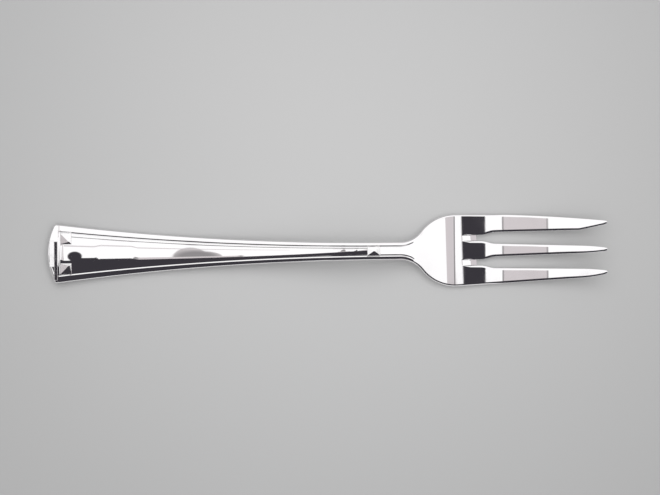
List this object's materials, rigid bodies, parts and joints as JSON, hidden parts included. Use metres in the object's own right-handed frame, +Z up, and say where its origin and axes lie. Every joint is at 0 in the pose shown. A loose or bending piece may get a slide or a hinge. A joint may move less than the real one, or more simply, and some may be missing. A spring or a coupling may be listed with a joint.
{
  "type": "pastry fork",
  "caption": "Mirror-polished pastry fork with a wide cutting tine, a cranked neck and a fan-shaped handle bordered by a groove and small pyramid studs.",
  "frame": {"origin": "middle of the length and width, on the table that the fork lies on with its front up", "axes": "+X from the handle's end to the points of the tines, +Y towards the wide cutting tine, +Z up out of the front"},
  "size_m": [0.15, 0.0196, 0.0103],
  "materials": {
    "polished_steel": "polished"
  },
  "bodies": {
    "root": {"fork": "polished_steel"}
  },
  "joints": []
}
